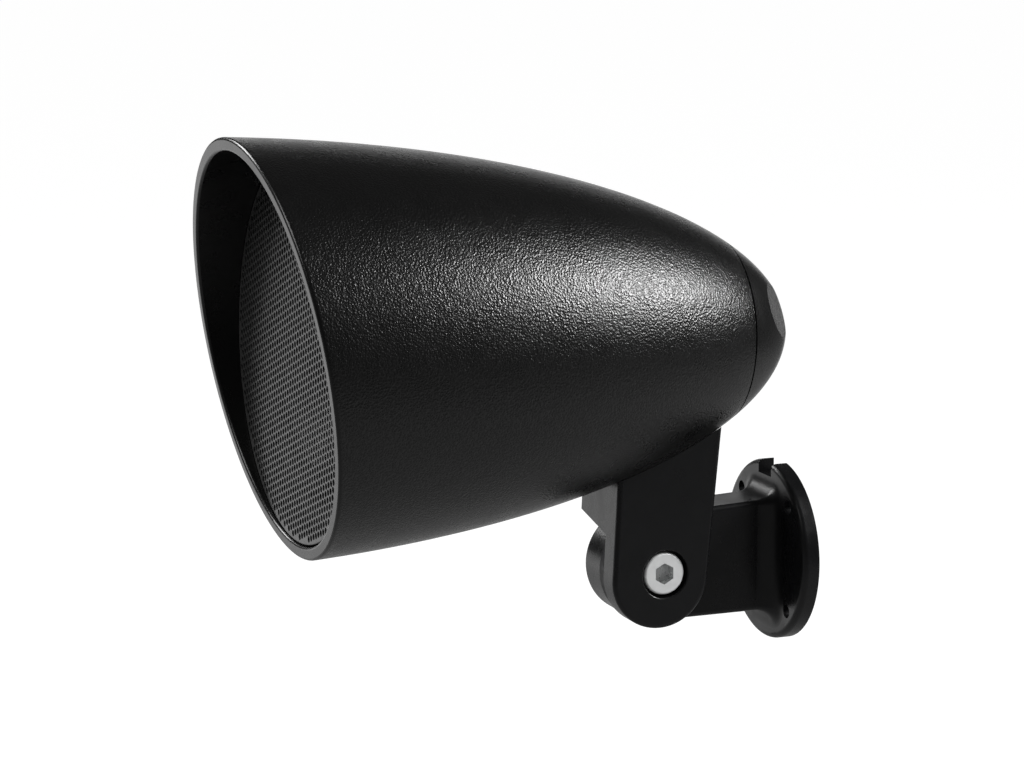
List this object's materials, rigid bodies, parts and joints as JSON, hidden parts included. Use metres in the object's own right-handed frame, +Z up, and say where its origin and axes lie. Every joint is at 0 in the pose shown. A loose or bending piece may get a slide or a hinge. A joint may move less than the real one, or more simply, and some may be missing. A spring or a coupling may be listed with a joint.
{
  "type": "outdoor satellite loudspeaker",
  "caption": "Bullet-shaped outdoor loudspeaker with a slanted rain hood, recessed perforated grille and twist-off rear cap, on a tilting ear and round wall flange.",
  "frame": {"origin": "centre of the flange's flat wall face", "axes": "+Y out of the wall face into the wall, +Z up, the hood faces -Y, the pivot screw's head faces +X"},
  "size_m": [0.1408, 0.201, 0.1857],
  "materials": {
    "shell_black": "pebbled satin black",
    "bracket_black": "fine satin black",
    "grille_black": "powder-coated perforated sheet",
    "foam_black": "closed-cell foam",
    "zinc_steel": "bright zinc plate",
    "basket_black": "satin black enamel",
    "cone_black": "polypropylene",
    "rubber_black": "matt rubber",
    "spider_cloth": "resin-dipped cloth",
    "copper": "enamelled copper winding",
    "plate_steel": "zinc-plated steel",
    "ferrite": "ground ferrite",
    "tweeter_black": "satin black",
    "dome_cloth": "coated silk",
    "board_green": "solder mask",
    "component_sleeve": "shrink sleeve",
    "component_ceramic": "ceramic",
    "friction_nylon": "grey-black nylon"
  },
  "bodies": {
    "bracket": {"wall_bracket": "bracket_black", "friction_disc": "friction_nylon", "pivot_screw": "zinc_steel", "pivot_nut": "zinc_steel"},
    "speaker": {"shell": "shell_black", "saddle": "bracket_black", "grille": "grille_black", "grille_gasket": "foam_black", "driver_gasket": "foam_black", "driver_screws": "zinc_steel", "driver_basket": "basket_black", "woofer_surround": "rubber_black", "woofer_spider": "spider_cloth", "top_plate": "plate_steel", "magnet": "ferrite", "pole_piece": "plate_steel", "tweeter_housing": "tweeter_black", "tweeter_magnet": "ferrite", "tweeter_dome": "dome_cloth", "crossover_board": "board_green", "board_standoffs": "zinc_steel", "board_screws": "zinc_steel", "inductor": "copper", "capacitor": "component_sleeve", "resistor": "component_ceramic", "saddle_screws": "zinc_steel", "cable_grommet": "rubber_black"},
    "cone": {"woofer_cone": "cone_black", "voice_coil": "copper"},
    "cap": {"rear_cap": "shell_black", "cap_seal": "rubber_black"}
  },
  "joints": [
    {"name": "tilt", "type": "hinge", "parent": "bracket", "child": "speaker", "pos_m": [0, -0.0522, -0.0011], "axis": [1, 0, 0], "range_deg": [0, 90]},
    {"name": "cone_travel", "type": "slide", "parent": "speaker", "child": "cone", "axis": [0, -0.9998, 0.0182], "range_m": [-0.003, 0.003], "stiffness_N_per_m": 1200, "deforming": ["woofer_surround", "woofer_spider"]},
    {"name": "cap_twist", "type": "hinge", "parent": "speaker", "child": "cap", "pos_m": [0, -0.02573, 0.07973], "axis": [0, 0.9998, -0.0182], "range_deg": [0, 40]}
  ]
}
